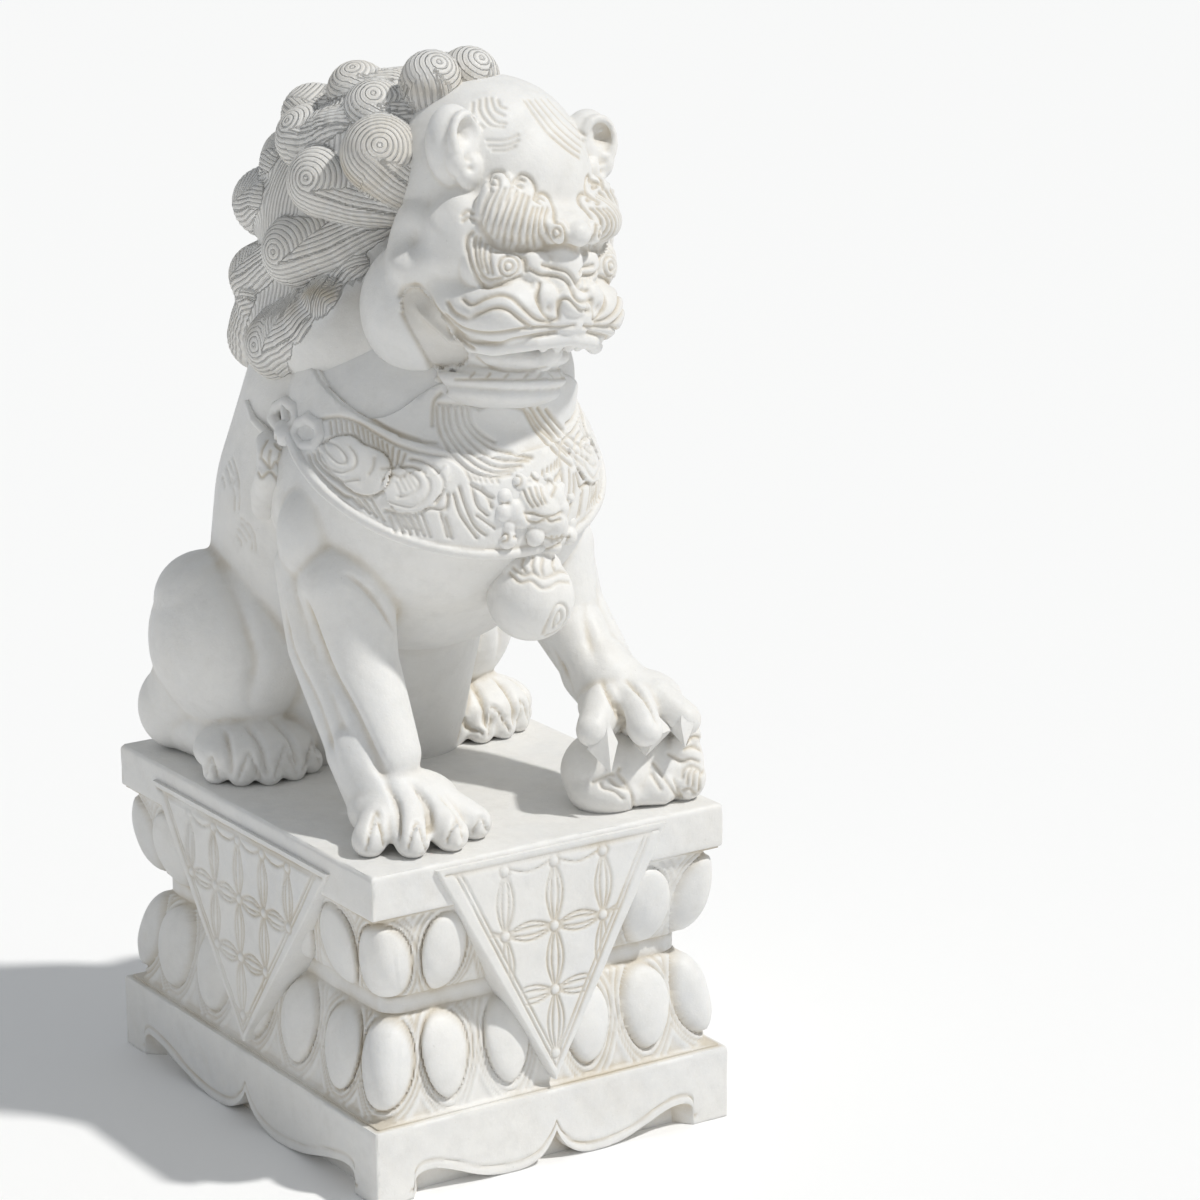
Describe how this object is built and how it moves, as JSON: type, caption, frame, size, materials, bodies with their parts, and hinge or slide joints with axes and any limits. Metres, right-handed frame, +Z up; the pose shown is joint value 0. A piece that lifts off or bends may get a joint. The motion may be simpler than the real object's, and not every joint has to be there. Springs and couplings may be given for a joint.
{
  "type": "guardian lion statue",
  "caption": "Seated marble guardian lion with curled mane, open mouth, belled breast band and paw on its cub, on a rectangular plinth with lotus petal courses and hanging cloth panels",
  "frame": {"origin": "centre of the plinth's underside", "axes": "+Z up, the lion's chest looks along -Y, its left side and the cub are on +X"},
  "size_m": [0.5701, 0.73, 1.4986],
  "materials": {
    "white_marble": "hand-dressed white marble, fine sparkling grain, rubbed smooth on the body and left tooled in the carving, with faint warm stain in the recesses"
  },
  "bodies": {
    "root": {"guardian_lion": "white_marble"}
  },
  "joints": []
}
